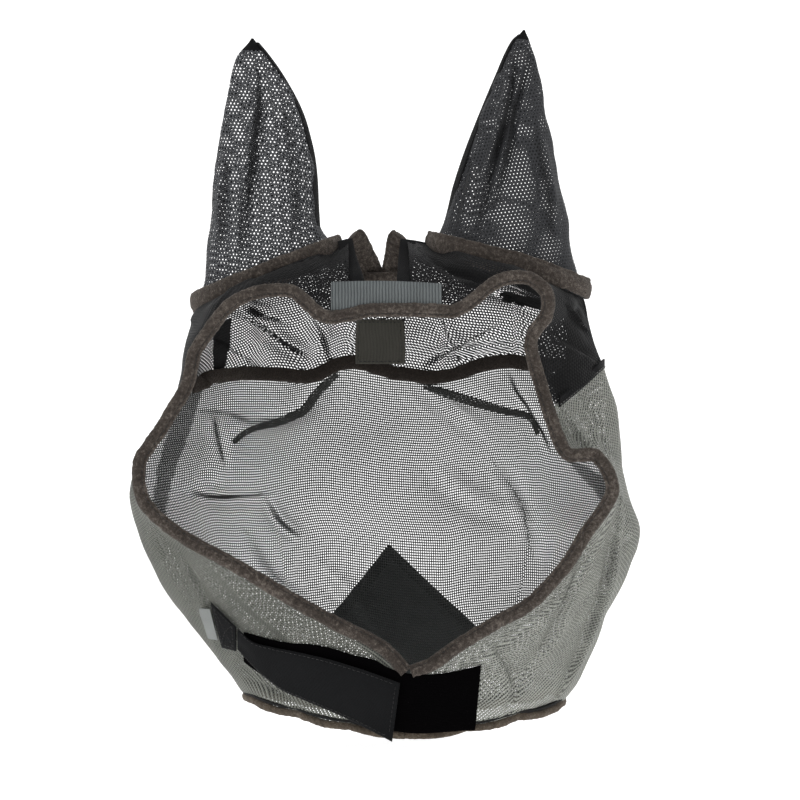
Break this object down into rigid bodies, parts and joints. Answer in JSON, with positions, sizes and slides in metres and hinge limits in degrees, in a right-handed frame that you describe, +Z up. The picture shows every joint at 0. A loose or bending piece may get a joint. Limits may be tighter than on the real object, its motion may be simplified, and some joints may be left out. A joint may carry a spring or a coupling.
{
  "type": "fly mask",
  "caption": "Full-face mesh hood for a horse, open at the throat and nose, with two ear covers, fleece-bound edges and a hook-and-loop jaw strap.",
  "frame": {"origin": "under the middle of the crown, where the mask rests on the horse's poll", "axes": "+Z up towards the ear tips, +Y towards the horse's face and nose, -Y towards the throat opening, -X the horse's left"},
  "size_m": [0.4387, 0.2435, 0.5983],
  "materials": {
    "fleece": "soft pile fleece, matt",
    "grey_mesh": "coated open mesh, silver-grey outside, dark inside",
    "black_mesh": "open knitted mesh, matt black",
    "hook_tape": "woven back of hook tape, dark grey",
    "loop_tape": "brushed loop pile, black",
    "label_cloth": "blank woven tape, off-white",
    "grey_webbing": "ribbed woven webbing, grey",
    "patch_cloth": "fine woven cloth, charcoal",
    "black_tape": "flat woven tape, black"
  },
  "bodies": {
    "mask": {"brow_fleece_band": "fleece", "cheek_mesh_left": "grey_mesh", "cheek_mesh_right": "grey_mesh", "crown_facing_left": "black_tape", "crown_facing_right": "black_tape", "crown_hem_tape_left": "black_tape", "crown_hem_tape_right": "black_tape", "crown_mesh_front": "black_mesh", "crown_mesh_left": "black_mesh", "crown_mesh_right": "black_mesh", "crown_side_tape_left": "black_tape", "crown_side_tape_right": "black_tape", "eye_dart_tape_left": "black_tape", "eye_dart_tape_right": "black_tape", "face_mesh": "grey_mesh", "forelock_fleece_cross": "fleece", "forelock_fleece_left": "fleece", "forelock_fleece_right": "fleece", "forelock_patch": "patch_cloth", "left_ear_cuff": "black_mesh", "left_ear_fleece_band": "fleece", "loop_tape": "loop_tape", "nose_hem_fleece": "fleece", "nose_hem_piping": "black_tape", "nose_patch": "patch_cloth", "poll_webbing_tab": "grey_webbing", "right_ear_cuff": "black_mesh", "right_ear_fleece_band": "fleece", "rim_fleece_binding": "fleece", "strap_anchor_patch": "hook_tape"},
    "hook_strap": {"hook_strap": "hook_tape"},
    "care_label": {"care_label": "label_cloth"},
    "left_ear": {"left_ear_cover": "black_mesh", "left_ear_seam_tape": "black_tape"},
    "right_ear": {"right_ear_cover": "black_mesh", "right_ear_seam_tape": "black_tape"}
  },
  "joints": [
    {"name": "strap_hinge", "type": "hinge", "parent": "mask", "child": "hook_strap", "pos_m": [-0.1256, 0.009, -0.2635], "axis": [-0.0397, 0.1191, -0.9921], "range_deg": [0, 150]},
    {"name": "label_flap", "type": "hinge", "parent": "mask", "child": "care_label", "pos_m": [-0.1492, 0.0198, -0.248], "axis": [-0.197, -0.3741, 0.9062], "range_deg": [0, 120]},
    {"name": "left_ear_fold", "type": "hinge", "parent": "mask", "child": "left_ear", "pos_m": [-0.106, 0.07, 0.062], "axis": [0.908, 0, 0.419], "range_deg": [-30, 40], "deforming": ["left_ear_cuff"]},
    {"name": "right_ear_fold", "type": "hinge", "parent": "mask", "child": "right_ear", "pos_m": [0.107, 0.07, 0.057], "axis": [0.9631, 0, -0.269], "range_deg": [-30, 40], "deforming": ["right_ear_cuff"]}
  ]
}
